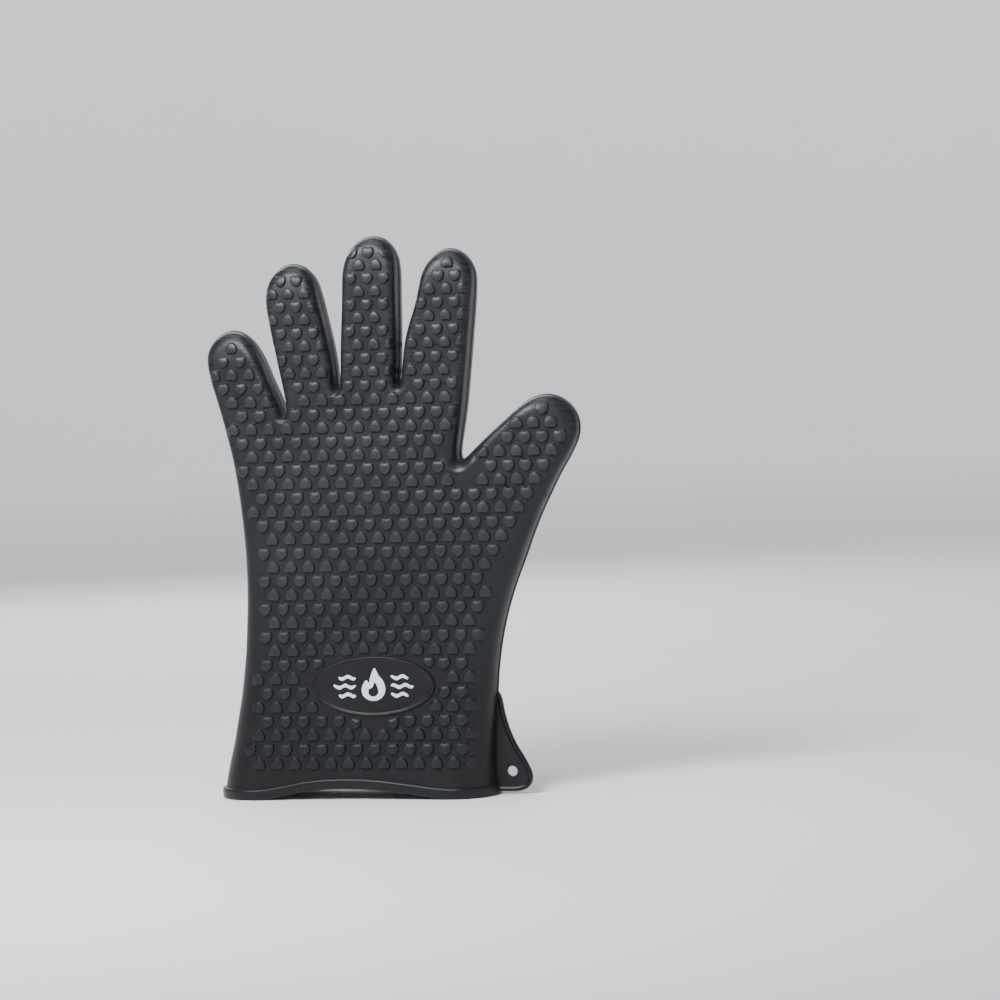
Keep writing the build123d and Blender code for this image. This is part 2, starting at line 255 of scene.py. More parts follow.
# ------------------------------------------------------------------- hearts
HEART = [(0.0, 0.70), (0.24, 0.77), (0.52, 0.82), (0.80, 0.71), (0.98, 0.38), (0.97, -0.02), (0.80, -0.42), (0.53, -0.73),
         (0.25, -0.92), (0.0, -0.98)]
_h = HEART + [(-u, v) for u, v in HEART[-2:0:-1]]
_h = spline(_h + _h[:3], 0.02)
_ang = np.arctan2(_h[:, 1], _h[:, 0])
_rad = np.hypot(_h[:, 0], _h[:, 1])
_o = np.argsort(_ang)
ANG = np.linspace(-math.pi, math.pi, 361)
RAD = np.interp(ANG, np.concatenate([_ang[_o] - 2 * math.pi, _ang[_o], _ang[_o] + 2 * math.pi]), np.tile(_rad[_o], 3))
RELIEF = 1.5


def hearts():
    """Centres of the grip pattern: x, z, +1 point down / -1 point up, half-width."""
    rows = []
    for j in range(-17, 22):
        z = 159.0 - 6.66 * j - 0.004 * j * j if j >= -5 else 192.4 + 6.6 * (-5 - j) - 0.02 * (-5 - j) ** 2
        shift = 0.0 if j % 2 == 0 else 0.5
        down = 1 if j % 2 == 0 else -1
        for i in range(-4, 20):
            k = i + shift
            if j >= -5:
                rows.append((-63.6 + 9.02 * k - 0.020 * k * k, z, down, 3.42, ""))
                continue
            for name, ref, i0, pitch, shear in (("pinky", -72.6, -1, 8.7, 0.0), ("ring", -44.0, 2, 8.1, 0.015),
                                                ("middle", -10.6, 6, 8.15, 0.055), ("index", 24.2, 10, 8.2, 0.06)):
                rows.append((ref + pitch * (k - i0) + shear * (z - 199), z, down, 3.12, name))
    out = []
    for x, z, down, w, name in rows:
        if name:
            s, n = digit_sn(name, x, z)
            if s < -62 or s > 10.5 or abs(n) > 17:
                continue
            if name == "pinky" and x > -53:
                continue
        out.append((x, z, down, w))
    h = np.array(out)
    d, _ = edge_distance(h[:, 0], h[:, 1])
    left = h[:, 0] < -20.0
    border = np.where(left, np.interp(h[:, 1], [10, 60, 90, 138, 146, 160, 185, 199, 280], [13.0, 10.5, 7.5, 7.2, 4.8, 4.6, 3.0, 1.9, 1.9]),
                      np.interp(h[:, 1], [10, 60, 90, 104, 128, 141, 150, 185, 199, 280], [8.0, 7.8, 8.2, 10.5, 10.5, 6.5, 4.3, 3.0, 2.1, 2.1]))
    border = np.where((h[:, 0] > 40) & (h[:, 1] > 143), 4.2, border)
    keep = (d > border) & (h[:, 1] < 264)
    for name, g in DIGITS.items():
        s, n = digit_sn(name, h[:, 0], h[:, 1])
        keep &= ~((s > {"index": 10.5, "thumb": 9.0}.get(name, 7.5)) & (np.abs(n) < g["r"] + 3))
        keep &= ~((s > (7.8 if name == "middle" else 6.8)) & (np.abs(n) < g["r"] + 3) & (d < 4.4))
    # nothing right under a crotch
    for cx, cz in ((-52.7, 185.0), (-25.3, 196.6), (5.2, 197.9)):
        keep &= ~(np.hypot(h[:, 0] - cx, h[:, 1] - cz) < 4.2)
    # bare roll at the root of the thumb
    fx, fz = h[:, 0] - 34.6, h[:, 1] - 162.0
    along, across = fx * 0.50 - fz * 0.87, fx * 0.87 + fz * 0.50
    keep &= ~((np.hypot(fx, fz) < 8.6) | ((np.abs(across) < 3.9) & (along > 0) & (along < 15)))
    return h[keep]


HEARTS = hearts()
# hearts that the badge on the front face leaves whole enough to show
_e = np.hypot((HEARTS[:, 0] - BADGE_C[0]) / (BADGE_A + 1.2), (HEARTS[:, 1] - BADGE_C[1]) / (BADGE_B + 1.2))
_off = (1 - 1 / _e) * np.hypot(HEARTS[:, 0] - BADGE_C[0], HEARTS[:, 1] - BADGE_C[1])
CLEAR = _off > 1.3
# those that would run under the ridge stand just clear of it
_tight = CLEAR & (_off < 3.0)
_dir = HEARTS[:, :2] - np.array(BADGE_C)
_dir /= np.linalg.norm(_dir, axis=1)[:, None]
HEARTS[_tight, :2] += _dir[_tight] * (3.0 - _off[_tight])[:, None]
HEARTS[_tight, 3] *= 0.92


def relief(x, z, d, front, amount=RELIEF):
    """Height of the heart pattern over the plain skin."""
    best = np.zeros(len(x))
    for i in range(0, len(x), 4000):
        xs, zs = x[i : i + 4000], z[i : i + 4000]
        dx, dz = xs[:, None] - HEARTS[None, :, 0], zs[:, None] - HEARTS[None, :, 1]
        near = np.argpartition(dx * dx + dz * dz, 3, axis=1)[:, :3]
        r = np.arange(len(xs))
        b = np.zeros(len(xs))
        for k in range(3):
            c = near[:, k]
            u = dx[r, c] / HEARTS[c, 3]
            v = dz[r, c] / HEARTS[c, 3] * HEARTS[c, 2]
            rho = np.hypot(u, v) / np.interp(np.arctan2(v, u), ANG, RAD)
            f = smoothstep(-rho, -1.02, -0.80) * (0.84 + 0.16 * np.clip(1 - (u * u + v * v) / 0.9, 0, 1))
            b = np.maximum(b, f * CLEAR[c] if front else f)
        best[i : i + 4000] = b
    lo = np.interp(z, [10, 60, 110, 150, 185, 199, 280], [6.5, 5.6, 4.0, 2.4, 1.4, 0.9, 0.9])
    fade = smoothstep(d, lo, lo + np.interp(z, [0, 180, 200], [3.4, 2.2, 1.6]))
    if front:
        e = np.hypot((x - BADGE_C[0]) / (BADGE_A + 1.2), (z - BADGE_C[1]) / (BADGE_B + 1.2))
        fade = fade * smoothstep(e, 1.0, 1.06)
    return best * fade * amount


def skin_height(x, z, d, front):
    h = np.where(d < 0.0, fin_height(d), np.maximum(base_height(x, z, d), FIN_T + 0.1))
    return h + np.where(d > 0.3, relief(x, z, d, front), 0.0)


def hem(x):
    return np.interp(x, [p[0] for p in ARCH], [p[1] for p in ARCH])


# --------------------------------------------------------------- triangulate
def cut_segment(name, s, margin):
    """The straight cut across a digit at s, ending just outside the skin."""
    n = np.linspace(-34, 34, 1361)
    pts = np.array([digit_at(name, s, v) for v in n])
    d, _ = edge_distance(pts[:, 0], pts[:, 1])
    mid = len(n) // 2
    lo = mid
    while d[lo] > 0:
        lo -= 1
    hi = mid
    while d[hi] > 0:
        hi += 1
    return digit_at(name, s, n[lo] - margin), digit_at(name, s, n[hi] + margin)


def ring_points(offset):
    """Outline moved inward by offset, and which of its points are still that far from the edge."""
    p = OUT + OUT_N * offset
    d, _ = edge_distance(p[:, 0], p[:, 1])
    return p, np.abs(d - offset) < 0.02 + 0.01 * abs(offset)


def triangulate(offsets, grid, heart_rings, heart_n, hem_lift, cut_margin):
    verts, edges = [], []

    def add(points, closed=False, ok=None):
        base = len(verts)
        index = []
        for i, p in enumerate(points):
            if ok is None or ok[i]:
                index.append(len(verts))
                verts.append((float(p[0]), float(p[1])))
            else:
                index.append(-1)
        for a, b in zip(index, index[1:] + (index[:1] if closed else [])):
            if a >= 0 and b >= 0:
                edges.append((a, b))
        return base

    first, _ = ring_points(offsets[0])
    above = first[:, 1] > hem(first[:, 0]) + hem_lift + 0.02
    outer = first[above]
    add(outer)
    start, end = 0, len(outer) - 1
    xs = np.linspace(outer[-1][0], outer[0][0], 90)
    zs = hem(xs) + hem_lift
    base = len(verts)
    for x, z in zip(xs, zs):
        verts.append((float(x), float(z)))
    for k in range(len(xs) - 1):
        edges.append((base + k, base + k + 1))
    edges.append((end, base))
    edges.append((base + len(xs) - 1, start))
    for off in offsets[1:]:
        p, ok = ring_points(off)
        ok &= p[:, 1] > hem(p[:, 0]) + hem_lift + 0.15
        add(p, ok=ok)
    cuts = {}
    for name, g in DIGITS.items():
        for key, s in (("root", g["z"][0]), ("lower", 0.5 * (g["z"][1] + g["z"][2]))):
            a, b = cut_segment(name, s, cut_margin)
            cuts[(name, key)] = (a, b)
            add([a, b])
    kept = np.array(verts)
    lo, hi = OUT.min(0), OUT.max(0)
    gx, gz = np.meshgrid(np.arange(lo[0], hi[0], grid), np.arange(-2, hi[1], grid * 0.866))
    gx[1::2] += grid * 0.5
    gx, gz = gx.ravel(), gz.ravel()
    d, _ = edge_distance(gx, gz)
    ok = (d > offsets[-1] * 0.75) & (gz > hem(gx) + hem_lift + 0.5)
    if heart_rings:
        dx, dz = gx[:, None] - HEARTS[None, :, 0], gz[:, None] - HEARTS[None, :, 1]
        u, v = dx / HEARTS[None, :, 3], dz / HEARTS[None, :, 3] * HEARTS[None, :, 2]
        rho = (np.hypot(u, v) / np.interp(np.arctan2(v, u), ANG, RAD)).min(1)
        ok &= rho > 1.12
    for x, z in zip(gx[ok], gz[ok]):
        verts.append((float(x), float(z)))
    if heart_rings:
        phi = np.linspace(-math.pi, math.pi, heart_n, endpoint=False) + 0.5 * math.pi
        phi = (phi + math.pi) % (2 * math.pi) - math.pi
        rr = np.interp(phi, ANG, RAD)
        for x, z, down, w in HEARTS:
            for k in heart_rings:
                add([(x + w * k * r * math.cos(f), z + w * down * k * r * math.sin(f)) for f, r in zip(phi, rr)], closed=True)
            verts.append((float(x), float(z)))
    v, e, f, _, _, _ = delaunay_2d_cdt([Vector(p) for p in verts], edges, [], 1, 1e-5)
    v = np.array([(p.x, p.y) for p in v])
    f = np.array([t for t in f if len(t) == 3])
    a, b, c = v[f[:, 0]], v[f[:, 1]], v[f[:, 2]]
    area = (b[:, 0] - a[:, 0]) * (c[:, 1] - a[:, 1]) - (b[:, 1] - a[:, 1]) * (c[:, 0] - a[:, 0])
    f[area < 0] = f[area < 0][:, ::-1]
    f = f[np.abs(area) > 1e-9]
    return v, f, cuts


def regions(v, f, cuts):
    """Label triangles by the piece they belong to; the cut lines part the pieces."""
    e = np.vstack([f[:, [0, 1]], f[:, [1, 2]], f[:, [2, 0]]])
    tri = np.tile(np.arange(len(f)), 3)
    e.sort(axis=1)
    blocked = np.zeros(len(e), bool)
    for (name, key), (a, b) in cuts.items():
        a, b = np.array(a), np.array(b)
        t = (b - a) / np.linalg.norm(b - a)
        rel = v - a
        off = np.abs(rel[:, 0] * t[1] - rel[:, 1] * t[0])
        along = rel @ t
        on = (off < 1e-3) & (along > -1e-3) & (along < np.linalg.norm(b - a) + 1e-3)
        blocked |= on[e[:, 0]] & on[e[:, 1]]
    order = np.lexsort((e[:, 1], e[:, 0]))
    es, ts, bs = e[order], tri[order], blocked[order]
    same = (es[1:] == es[:-1]).all(1) & ~bs[1:]
    pa, pb = ts[:-1][same], ts[1:][same]
    label = np.arange(len(f))
    while True:
        low = np.minimum(label[pa], label[pb])
        new = label.copy()
        np.minimum.at(new, pa, low)
        np.minimum.at(new, pb, low)
        new = new[new]
        if (new == label).all():
            break
        label = new
    mid = v[f].mean(1)
    out = {}

    def nearest(p):
        return label[((mid - np.array(p)) ** 2).sum(1).argmin()]

    out["hand"] = label == nearest((-20.0, 110.0))
    for name, g in DIGITS.items():
        out[name + "_lower"] = label == nearest(digit_at(name, g["z"][0] + 4.0, 0.0))
        out[name + "_end"] = label == nearest(digit_at(name, 0.0, 0.0))
    return out


def normals_of(x, z, d, g, height, sign):
    """Outward normals of y = sign * height(x, z)."""
    e = 0.03
    ed = np.clip(0.25 * np.abs(d), 5e-5, 0.03)
    hd = (height(x, z, d + ed) - height(x, z, d - ed)) / (2 * ed)
    hd = np.where(d < 1e-4, 0.0, hd)
    hx = (height(x + e, z, d) - height(x - e, z, d)) / (2 * e) + hd * g[:, 0]
    hz = (height(x, z + e, d) - height(x, z - e, d)) / (2 * e) + hd * g[:, 1]
    n = np.stack([-hx, np.full(len(x), sign), -hz], 1)
    return n / np.linalg.norm(n, axis=1)[:, None]


def mesh_object(name, co, faces, normals=None, attr=None):
    me = bpy.data.meshes.new(name)
    me.from_pydata((np.asarray(co) * MM).tolist(), [], [list(map(int, f)) for f in faces])
    me.validate(verbose=False)
    me.update()
    for p in me.polygons:
        p.use_smooth = True
    if attr is not None:
        for key, values in attr.items():
            a = me.attributes.new(key, "FLOAT", "POINT")
            a.data.foreach_set("value", np.asarray(values, np.float32))
    if normals is not None:
        me.normals_split_custom_set_from_vertices(np.asarray(normals).tolist())
    ob = bpy.data.objects.new(name, me)
    bpy.context.scene.collection.objects.link(ob)
    return ob


def take(co, faces, nor, attr, mask):
    """The part of a mesh whose faces are masked, with unused points dropped."""
    f = faces[mask]
    used = np.unique(f)
    renum = np.full(len(co), -1)
    renum[used] = np.arange(len(used))
    return co[used], renum[f], nor[used], {k: a[used] for k, a in attr.items()}


def close_wall(co, faces, n_outer):
    """Faces that join the outer and inner skin along every open edge, so a piece is a closed wall."""
    count = {}
    for f in faces:
        for a, b in zip(f, f[1:] + f[:1]):
            count[(a, b)] = count.get((a, b), 0) + 1
    nxt = {a: b for a, b in count if (b, a) not in count}
    loops = []
    while nxt:
        a = next(iter(nxt))
        loop = [a]
        b = nxt.pop(a)
        while b != a and b in nxt:
            loop.append(b)
            b = nxt.pop(b)
        if b == a and len(loop) > 2:
            loops.append(loop)
    outer = [q for q in loops if q[0] < n_outer]
    inner = [q for q in loops if q[0] >= n_outer]
    made = []
    for o in outer:
        oc = co[o].mean(0)
        i = min(inner, key=lambda q: ((co[q].mean(0) - oc) ** 2).sum())
        _, _, vt = np.linalg.svd(co[o] - oc, full_matrices=False)
        e1, e2 = vt[0], vt[1]

        def angle(q):
            r = co[q] - oc
            return np.arctan2(r @ e2, r @ e1)

        def turn(q):
            """Whether the loop runs counter-clockwise, and its points from the lowest angle on."""
            a = angle(q)
            step = (np.diff(np.append(a, a[0])) + math.pi) % (2 * math.pi) - math.pi
            ccw = step.sum() > 0
            if not ccw:
                q = q[::-1]
                a = a[::-1]
            k = int(np.argmin(a))
            q = q[k:] + q[:k]
            a = np.roll(a, -k)
            return ccw, q, np.maximum.accumulate(np.append(a, a[0] + 2 * math.pi))

        ccw, o, ao = turn(o)
        _, i, ai = turn(i)
        n, m = len(o), len(i)
        a = b = 0
        while a < n or b < m:
            if a < n and (b == m or ao[a + 1] <= ai[b + 1]):
                t = [o[a % n], o[(a + 1) % n], i[b % m]]
                a += 1
            else:
                t = [o[a % n], i[(b + 1) % m], i[b % m]]
                b += 1
            made.append(t[::-1] if ccw else t)
    return made


def build_skin():
    # outer skin, both faces on one triangulation
    offs = [-FIN_OUT, -FIN_OUT + 0.1, -0.05, 0.0004, 0.008, 0.04, 0.12, 0.28, 0.52, 0.9, 1.4, 2.1, 3.1, 4.5, 6.6]
    v, f, cuts = triangulate(offs, 2.3, (1.03, 0.955, 0.885, 0.80), 20, 1.0, 0.75)
    lab = regions(v, f, cuts)
    x, z = v[:, 0], v[:, 1]
    d, g = edge_distance(x, z)
    sides = []
    for sign, front in ((-1.0, True), (1.0, False)):
        def fn(a, b, c, front=front):
            return skin_height(a, b, c, front)
        h = fn(x, z, d)
        n = normals_of(x, z, d, g, fn, sign)
        rim = d < -FIN_OUT + 0.03
        n[rim] = np.stack([-g[rim, 0], np.full(rim.sum(), 0.25 * sign), -g[rim, 1]], 1)
        n /= np.linalg.norm(n, axis=1)[:, None]
        sides.append((np.stack([x, sign * h, z], 1), n, relief(x, z, d, front) * (d > 0.3)))
    co = np.vstack([sides[0][0], sides[1][0]])
    nor = np.vstack([sides[0][1], sides[1][1]])
    att = {"relief": np.concatenate([sides[0][2], sides[1][2]]), "edge": np.concatenate([d, d])}
    k = len(v)
    # y = -h faces look toward -y: with x right and z up, counter-clockwise seen from -y is correct
    front_f = f
    back_f = f[:, ::-1] + k
    # strip along the fin's rim
    e = np.vstack([f[:, [0, 1]], f[:, [1, 2]], f[:, [2, 0]]])
    tri = np.tile(np.arange(len(f)), 3)
    key = np.sort(e, axis=1)
    order = np.lexsort((key[:, 1], key[:, 0]))
    ks = key[order]
    single = np.ones(len(ks), bool)
    same = (ks[1:] == ks[:-1]).all(1)
    single[1:][same] = False
    single[:-1][same] = False
    be, bt = e[order][single], tri[order][single]
    on = (d[be[:, 0]] < -FIN_OUT + 0.03) & (d[be[:, 1]] < -FIN_OUT + 0.03)
    be, bt = be[on], bt[on]
    strip = np.stack([be[:, 1], be[:, 0], be[:, 0] + k, be[:, 1] + k], 1)
    # inner skin
    ioffs = [WALL, WALL + 0.08, WALL + 0.4, WALL + 1.1, WALL + 2.4, WALL + 4.4, WALL + 7.0]
    iv, jf, icuts = triangulate(ioffs, 4.4, (), 0, 1.0, -WALL + 0.4)
    ilab = regions(iv, jf, icuts)
    ix, iz = iv[:, 0], iv[:, 1]
    idd, ig = edge_distance(ix, iz)

    def inner(a, b, c):
        return np.maximum(base_height(a, b, c, WALL), 0.0) * (c > WALL + 0.01)
    ih = inner(ix, iz, idd)
    ico, inor = [], []
    for sign in (-1.0, 1.0):
        n = -normals_of(ix, iz, idd, ig, inner, sign)
        rim = idd < WALL + 0.03
        n[rim] = np.stack([ig[rim, 0], np.zeros(rim.sum()), ig[rim, 1]], 1)
        n /= np.linalg.norm(n, axis=1)[:, None]
        ico.append(np.stack([ix, sign * np.where(rim, 0.0, ih), iz], 1))
        inor.append(n)
    ik = len(iv)
    ico, inor = np.vstack(ico), np.vstack(inor)
    rim = np.where(idd < WALL + 0.03)[0]
    remap = np.arange(2 * ik)
    remap[rim + ik] = rim
    ifr = jf[:, ::-1]
    ibk = remap[jf + ik]
    made = {}
    for name in lab:
        m, im = lab[name], ilab[name]
        tris = [*front_f[m], *back_f[m]]
        quads = [*strip[m[bt]]]
        parts_f = tris + quads
        used = np.unique(np.concatenate([np.ravel(t) for t in parts_f]))
        renum = np.full(len(co), -1)
        renum[used] = np.arange(len(used))
        faces = [[int(renum[i]) for i in t] for t in parts_f]
        c, n = co[used], nor[used]
        a = {q: w[used] for q, w in att.items()}
        itris = np.vstack([ifr[im], ibk[im]])
        iused = np.unique(itris)
        irenum = np.full(len(ico), -1)
        irenum[iused] = np.arange(len(iused)) + len(c)
        faces += [[int(irenum[i]) for i in t] for t in itris]
        c = np.vstack([c, ico[iused]])
        n = np.vstack([n, inor[iused]])
        faces += close_wall(c, faces, len(used))
        a = {q: np.concatenate([w, np.full(len(iused), 20.0 if q == "edge" else 0.0)]) for q, w in a.items()}
        ob = mesh_object("skin_" + name if name != "hand" else "skin_cuff_and_palm", c, faces, n, a)
        made[name] = ob
    return made


# ----------------------------------------------------------------- materials
def new_material(name):
    m = bpy.data.materials.new(name)
    m.use_nodes = True
    nt = m.node_tree
    nt.nodes.clear()
    out = nt.nodes.new("ShaderNodeOutputMaterial")
    bsdf = nt.nodes.new("ShaderNodeBsdfPrincipled")
    nt.links.new(bsdf.outputs["BSDF"], out.inputs["Surface"])
    return m, nt, bsdf


def silicone(name, dark, light, rough, painted_light_and_streaks=True):
    m, nt, b = new_material(name)
    N = nt.nodes.new
    L = nt.links.new
    tc = N("ShaderNodeTexCoord")
    big = N("ShaderNodeTexNoise")
    big.inputs["Scale"].default_value = 14.0
    big.inputs["Detail"].default_value = 5.0
    big.inputs["Roughness"].default_value = 0.55
    L(tc.outputs["Object"], big.inputs["Vector"])
    ramp = N("ShaderNodeValToRGB")
    ramp.color_ramp.elements[0].position = 0.30
    ramp.color_ramp.elements[0].color = (*dark, 1)
    ramp.color_ramp.elements[1].position = 0.72
    ramp.color_ramp.elements[1].color = (*light, 1)
    L(big.outputs["Fac"], ramp.inputs["Fac"])
    colour = ramp.outputs["Color"]
    if painted_light_and_streaks:
        # painted shade and highlight: the ground between the hearts is darkened and the heart tops lightened by their
        # height, standing in for the shade in the grooves and the light on the tops
        at = N("ShaderNodeAttribute")
        at.attribute_name = "relief"
        relief_shading_range = N("ShaderNodeMapRange")
        relief_shading_range.inputs["From Min"].default_value = 0.0
        relief_shading_range.inputs["From Max"].default_value = 1.1
        relief_shading_range.inputs["To Min"].default_value = 0.58
        relief_shading_range.inputs["To Max"].default_value = 1.12
        L(at.outputs["Fac"], relief_shading_range.inputs["Value"])
        relief_shading_mix = N("ShaderNodeMix")
        relief_shading_mix.data_type = "RGBA"
        relief_shading_mix.blend_type = "MULTIPLY"
        relief_shading_mix.inputs["Factor"].default_value = 1.0
        L(colour, relief_shading_mix.inputs[6])
        L(relief_shading_range.outputs["Result"], relief_shading_mix.inputs[7])
        colour = relief_shading_mix.outputs[2]
    streak = None
    if painted_light_and_streaks:
        ed = N("ShaderNodeAttribute")
        ed.attribute_name = "edge"
        # painted highlight: the thin fin along the mould parting is painted paler than the thick wall, standing in for
        # the light its edge catches
        fin_highlight_range = N("ShaderNodeMapRange")
        fin_highlight_range.inputs["From Min"].default_value = -0.02
        fin_highlight_range.inputs["From Max"].default_value = 0.0003
        fin_highlight_range.inputs["To Min"].default_value = 1.0
        fin_highlight_range.inputs["To Max"].default_value = 0.0
        L(ed.outputs["Fac"], fin_highlight_range.inputs["Value"])
        fin_highlight_mix = N("ShaderNodeMix")
        fin_highlight_mix.data_type = "RGBA"
        L(fin_highlight_range.outputs["Result"], fin_highlight_mix.inputs["Factor"])
        L(colour, fin_highlight_mix.inputs[6])
        fin_highlight_mix.inputs[7].default_value = (0.075, 0.079, 0.087, 1)
        colour = fin_highlight_mix.outputs[2]
        # tool marks that run across the flanks of the digits
        mp = N("ShaderNodeMapping")
        mp.inputs["Scale"].default_value = (70.0, 70.0, 1150.0)
        L(tc.outputs["Object"], mp.inputs["Vector"])
        sn = N("ShaderNodeTexNoise")
        sn.inputs["Scale"].default_value = 1.0
        sn.inputs["Detail"].default_value = 3.0
        L(mp.outputs["Vector"], sn.inputs["Vector"])
        near = N("ShaderNodeMapRange")
        near.inputs["From Min"].default_value = 2.2
        near.inputs["From Max"].default_value = 6.0
        near.inputs["To Min"].default_value = 1.0
        near.inputs["To Max"].default_value = 0.12
        L(ed.outputs["Fac"], near.inputs["Value"])
        sep = N("ShaderNodeSeparateXYZ")
        L(tc.outputs["Object"], sep.inputs["Vector"])
        high = N("ShaderNodeMapRange")
        high.inputs["From Min"].default_value = 0.110
        high.inputs["From Max"].default_value = 0.190
        L(sep.outputs["Z"], high.inputs["Value"])
        body = N("ShaderNodeMapRange")
        body.inputs["From Min"].default_value = 0.02
        body.inputs["From Max"].default_value = 0.5
        L(ed.outputs["Fac"], body.inputs["Value"])
        nb = N("ShaderNodeMath")
        nb.operation = "MULTIPLY"
        L(near.outputs["Result"], nb.inputs[0])
        L(body.outputs["Result"], nb.inputs[1])
        both = N("ShaderNodeMath")
        both.operation = "MULTIPLY"
        L(nb.outputs["Value"], both.inputs[0])
        L(high.outputs["Result"], both.inputs[1])
        st = N("ShaderNodeMapRange")
        st.inputs["From Min"].default_value = 0.38
        st.inputs["From Max"].default_value = 0.62
        st.inputs["To Min"].default_value = 0.45
        st.inputs["To Max"].default_value = 1.5
        L(sn.outputs["Fac"], st.inputs["Value"])
        sm = N("ShaderNodeMix")
        sm.data_type = "RGBA"
        sm.blend_type = "MULTIPLY"
        L(both.outputs["Value"], sm.inputs["Factor"])
        L(colour, sm.inputs[6])
        L(st.outputs["Result"], sm.inputs[7])
        colour = sm.outputs[2]
        streak = N("ShaderNodeMath")
        streak.operation = "MULTIPLY"
        L(sn.outputs["Fac"], streak.inputs[0])
        L(both.outputs["Value"], streak.inputs[1])
    # painted shade: the colour is darkened towards the cuff, standing in for the light that falls off down the glove
    sz = N("ShaderNodeSeparateXYZ")
    L(tc.outputs["Object"], sz.inputs["Vector"])
    wob = N("ShaderNodeMath")
    wob.operation = "MULTIPLY_ADD"
    wob.inputs[1].default_value = 0.06
    L(big.outputs["Fac"], wob.inputs[0])
    L(sz.outputs["Z"], wob.inputs[2])
    cuff_shade_range = N("ShaderNodeMapRange")
    cuff_shade_range.interpolation_type = "SMOOTHSTEP"
    cuff_shade_range.inputs["From Min"].default_value = 0.040
    cuff_shade_range.inputs["From Max"].default_value = 0.190
    cuff_shade_range.inputs["To Min"].default_value = 0.42
    cuff_shade_range.inputs["To Max"].default_value = 1.0
    L(wob.outputs["Value"], cuff_shade_range.inputs["Value"])
    cuff_shade_mix = N("ShaderNodeMix")
    cuff_shade_mix.data_type = "RGBA"
    cuff_shade_mix.blend_type = "MULTIPLY"
    cuff_shade_mix.inputs["Factor"].default_value = 1.0
    L(colour, cuff_shade_mix.inputs[6])
    L(cuff_shade_range.outputs["Result"], cuff_shade_mix.inputs[7])
    colour = cuff_shade_mix.outputs[2]
    # pale dust that silicone picks up
    dust = N("ShaderNodeTexNoise")
    dust.inputs["Scale"].default_value = 420.0
    dust.inputs["Detail"].default_value = 3.0
    L(tc.outputs["Object"], dust.inputs["Vector"])
    dr = N("ShaderNodeValToRGB")
    dr.color_ramp.elements[0].position = 0.66
    dr.color_ramp.elements[0].color = (0, 0, 0, 1)
    dr.color_ramp.elements[1].position = 0.80
    dr.color_ramp.elements[1].color = (1, 1, 1, 1)
    L(dust.outputs["Fac"], dr.inputs["Fac"])
    dm = N("ShaderNodeMath")
    dm.operation = "MULTIPLY"
    dm.inputs[1].default_value = 0.10
    L(dr.outputs["Color"], dm.inputs[0])
    mix = N("ShaderNodeMix")
    mix.data_type = "RGBA"
    L(dm.outputs["Value"], mix.inputs["Factor"])
    L(colour, mix.inputs[6])
    mix.inputs[7].default_value = (0.10, 0.105, 0.11, 1)
    L(mix.outputs[2], b.inputs["Base Color"])
    # satin sheen that varies softly
    rr = N("ShaderNodeMapRange")
    rr.inputs["From Min"].default_value = 0.3
    rr.inputs["From Max"].default_value = 0.7
    rr.inputs["To Min"].default_value = rough - 0.05
    rr.inputs["To Max"].default_value = rough + 0.07
    mid = N("ShaderNodeTexNoise")
    mid.inputs["Scale"].default_value = 55.0
    mid.inputs["Detail"].default_value = 6.0
    L(tc.outputs["Object"], mid.inputs["Vector"])
    L(mid.outputs["Fac"], rr.inputs["Value"])
    L(rr.outputs["Result"], b.inputs["Roughness"])
    b.inputs["Specular IOR Level"].default_value = 0.38
    b.inputs["IOR"].default_value = 1.43
    b.inputs["Sheen Weight"].default_value = 0.04
    b.inputs["Sheen Roughness"].default_value = 0.45
    # moulded micro-texture
    fine = N("ShaderNodeTexNoise")
    fine.inputs["Scale"].default_value = 1500.0
    fine.inputs["Detail"].default_value = 3.0
    L(tc.outputs["Object"], fine.inputs["Vector"])
    b1 = N("ShaderNodeBump")
    b1.inputs["Strength"].default_value = 0.16
    b1.inputs["Distance"].default_value = 0.00012
    L(fine.outputs["Fac"], b1.inputs["Height"])
    b2 = N("ShaderNodeBump")
    b2.inputs["Strength"].default_value = 0.25
    b2.inputs["Distance"].default_value = 0.0005
    L(mid.outputs["Fac"], b2.inputs["Height"])
    L(b1.outputs["Normal"], b2.inputs["Normal"])
    last = b2.outputs["Normal"]
    if streak is not None:
        b3 = N("ShaderNodeBump")
        b3.inputs["Strength"].default_value = 0.8
        b3.inputs["Distance"].default_value = 0.0003
        L(streak.outputs["Value"], b3.inputs["Height"])
        L(last, b3.inputs["Normal"])
        last = b3.outputs["Normal"]
    L(last, b.inputs["Normal"])
    return m


def print_ink():
    m, nt, b = new_material("badge_print_ink")
    N = nt.nodes.new
    L = nt.links.new
    tc = N("ShaderNodeTexCoord")
    n = N("ShaderNodeTexNoise")
    n.inputs["Scale"].default_value = 700.0
    n.inputs["Detail"].default_value = 4.0
    L(tc.outputs["Object"], n.inputs["Vector"])
    r = N("ShaderNodeValToRGB")
    r.color_ramp.elements[0].position = 0.28
    r.color_ramp.elements[0].color = (0.55, 0.57, 0.66, 1)
    r.color_ramp.elements[1].position = 0.52
    r.color_ramp.elements[1].color = (0.74, 0.76, 0.86, 1)
    L(n.outputs["Fac"], r.inputs["Fac"])
    L(r.outputs["Color"], b.inputs["Base Color"])
    b.inputs["Roughness"].default_value = 0.5
    bu = N("ShaderNodeBump")
    bu.inputs["Strength"].default_value = 0.2
    bu.inputs["Distance"].default_value = 0.0001
    L(n.outputs["Fac"], bu.inputs["Height"])
    L(bu.outputs["Normal"], b.inputs["Normal"])
    return m


